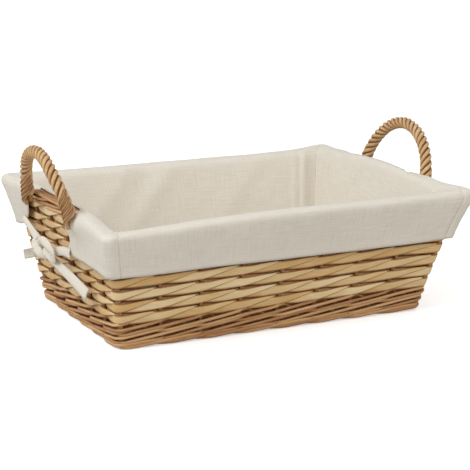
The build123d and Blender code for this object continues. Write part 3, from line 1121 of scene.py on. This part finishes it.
def floor_place(step_u, step_v):
    """The liner's floor, which lies a little uneven on the base."""
    x = (2 * step_u / floor_cells[0] - 1) * floor_half_x
    y = (2 * step_v / floor_cells[1] - 1) * floor_half_y
    inside = min(1.0, (1 - abs(x) / floor_half_x) * 8) * min(1.0, (1 - abs(y) / floor_half_y) * 6)
    z = 17.5 * mm + 1.3 * mm * inside * (0.6 + noise.noise(Vector((x * 14, y * 14, 0))))
    return Vector((x, y, z)), x, y, 0.5


add_grid(shape, *floor_cells, floor_place)
piece = finish_piece(
    shape, "liner_floor_sheet", "liner", liner_cotton, ("liner_floor",), closed=False,
)
add_thickness(piece, liner_thick)

# %% [markdown]
# ## Ties
#
# A tape is sewn to each slit corner of the cuff, and the two are knotted under
# the handle. A tape is a narrow sheet that follows a line while its face turns
# from one direction to the next, so it is a long thin grid with its own
# widths. The knot is made of the same tape: a wrap, a loop and a short end
# that stands off.

# %% tapes
tape_width, tape_cells, across_cells = 12 * mm, 28, 6


def end_place(y, z, out):
    """A place on the left end wall."""
    return Vector((-(stake_half(z)[0] + out), y, z))


def tape_path(points):
    """The middle line of a tape through (y, z, out) places in millimetres."""
    return smooth_path([end_place(y * mm, z * mm, out * mm) for y, z, out in points], tape_cells)


def add_tape(bm, points, widths, faces, start_number, mirror):
    """A flat tape along a path on the end wall, its width across each of the faces."""
    path = tape_path(points)
    lengths = path_lengths(path, start_number)

    def between(values, step):
        spot = step / tape_cells * (len(values) - 1)
        low = min(int(spot), len(values) - 2)
        return values[low] + (values[low + 1] - values[low]) * (spot - low)

    def place(step_u, step_v):
        across = step_v / across_cells - 0.5
        ahead = path[min(step_u + 1, tape_cells)] - path[max(step_u - 1, 0)]
        face = between([Vector(face) for face in faces], step_u).normalized()
        side = face.cross(ahead).normalized()
        width = between(widths, step_u) * mm
        curl = 1.6 * mm * (1 - 4 * across * across)
        curl += 0.5 * mm * wave(step_u * 0.3, start_number * 50)
        spot = path[step_u] + side * across * width + face * curl
        if mirror:
            spot.x = -spot.x
        return spot, lengths[step_u], across * width, 0.5

    add_grid(bm, tape_cells, across_cells, place)


away, slanted, forward = (-1, 0, 0), (-0.75, -0.65, 0.1), (-0.5, -0.85, 0.15)
# every run of tape: points, widths, faces
back_tape = [
    ([(121, 106, 14), (100, 100, 15), (75, 94, 17), (56, 90, 19), (44, 87, 20)],
     (10, 10, 11, 12, 9), (away, slanted, slanted)),
    ([(36, 86, 21), (24, 80, 20), (0, 72.5, 17.5), (-40, 65, 16), (-84, 57, 16)],
     (8, 9, 11, 13, 14), (slanted, slanted)),
]
front_tape = [
    ([(-44, 96, 14), (-22, 95, 15), (0, 90, 16), (24, 86, 17)], (12, 11, 10, 8), (away, away)),
    # a loop that leaves the knot, turns over in front and comes back to it
    ([(40, 89, 22), (30, 97, 25), (14, 100.5, 26), (0, 96, 25), (-5, 88, 23), (2, 80, 21),
      (18, 78.5, 20)], (7, 9, 11, 11, 10, 9, 7), (forward, slanted, away, slanted)),
    # the short end stands out from the wall on its edge
    ([(40, 84, 17), (42, 82, 24), (44, 80.5, 34), (45, 79.5, 44)],
     (9, 11.5, 12, 12), ((0, 0.35, 0), (0, 0.35, 0))),
    # the wrap of the knot
    ([(56, 90, 17), (54, 93, 23), (47, 90, 27), (41, 85, 28), (35, 80, 26), (31, 76.5, 19)],
     (8, 10, 11, 11, 10, 8), (slanted, forward, slanted)),
]
ties = (("back_tape", back_tape, "back_tie"), ("front_tape", front_tape, "front_tie"))
for mirror, side in ((False, "left"), (True, "right")):
    for name, runs, node in ties:
        shape = start_piece()
        for number, (points, widths, faces) in enumerate(runs):
            add_tape(shape, points, widths, faces, number * 0.1, mirror)
            length = path_lengths(tape_path(points))[-1]
            flat_length += length
        piece = finish_piece(
            shape, f"{side}_{name}", "liner", tape_cotton, (f"{side}_{node}",),
            closed=False,
        )
        add_thickness(piece, tape_thick)
